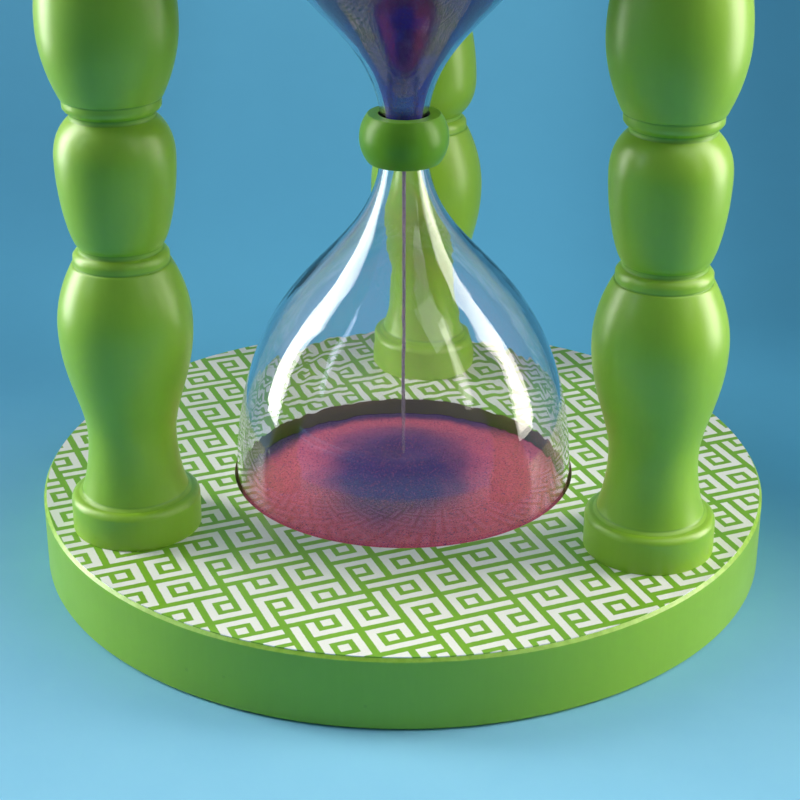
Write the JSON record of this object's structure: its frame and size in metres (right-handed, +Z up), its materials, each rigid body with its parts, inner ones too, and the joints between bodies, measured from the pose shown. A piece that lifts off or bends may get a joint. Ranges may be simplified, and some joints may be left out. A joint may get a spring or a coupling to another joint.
{
  "type": "hourglass",
  "caption": "Hourglass with two blown glass bulbs and coloured sand in a painted frame of turned spindles between round plates, with a loose bead ring on the neck.",
  "frame": {"origin": "centre of the base plate's underside, on the surface that the hourglass stands on", "axes": "+Z up along the axis of the glass, +Y towards the back spindle, +X to the right"},
  "size_m": [0.19, 0.19, 0.2215],
  "materials": {
    "frame_paint": "turned wood under satin lime-green paint",
    "ring_paint": "turned wood bead under satin green paint, a shade darker than the frame",
    "printed_paper": "matt paper printed with a green fret of squared keys on white",
    "clear_glass": "clear blown glass, polished",
    "brass_disc": "plain brass, turned",
    "coloured_sand": "fine dyed sand, rose and blue-violet grains mixed",
    "felt": "dark green wool felt",
    "screw_steel": "zinc-plated wood screw"
  },
  "bodies": {
    "frame": {"base_plate": "frame_paint", "top_plate": "frame_paint", "base_sheet": "printed_paper", "top_sheet": "printed_paper", "lower_bulb": "clear_glass", "upper_bulb": "clear_glass", "orifice_disc": "brass_disc", "lower_sand": "coloured_sand", "upper_sand": "coloured_sand", "sand_stream": "coloured_sand", "lower_pad": "felt", "upper_pad": "felt", "spindle_back": "frame_paint", "base_screw_back": "screw_steel", "top_screw_back": "screw_steel", "base_plug_back": "frame_paint", "top_plug_back": "frame_paint", "spindle_left": "frame_paint", "base_screw_left": "screw_steel", "top_screw_left": "screw_steel", "base_plug_left": "frame_paint", "top_plug_left": "frame_paint", "spindle_right": "frame_paint", "base_screw_right": "screw_steel", "top_screw_right": "screw_steel", "base_plug_right": "frame_paint", "top_plug_right": "frame_paint"},
    "ring": {"neck_ring": "ring_paint"}
  },
  "joints": [
    {"name": "ring_turn", "type": "hinge", "parent": "frame", "child": "ring", "pos_m": [0, 0, 0.11075], "axis": [0, 0, 1], "continuous": true}
  ]
}
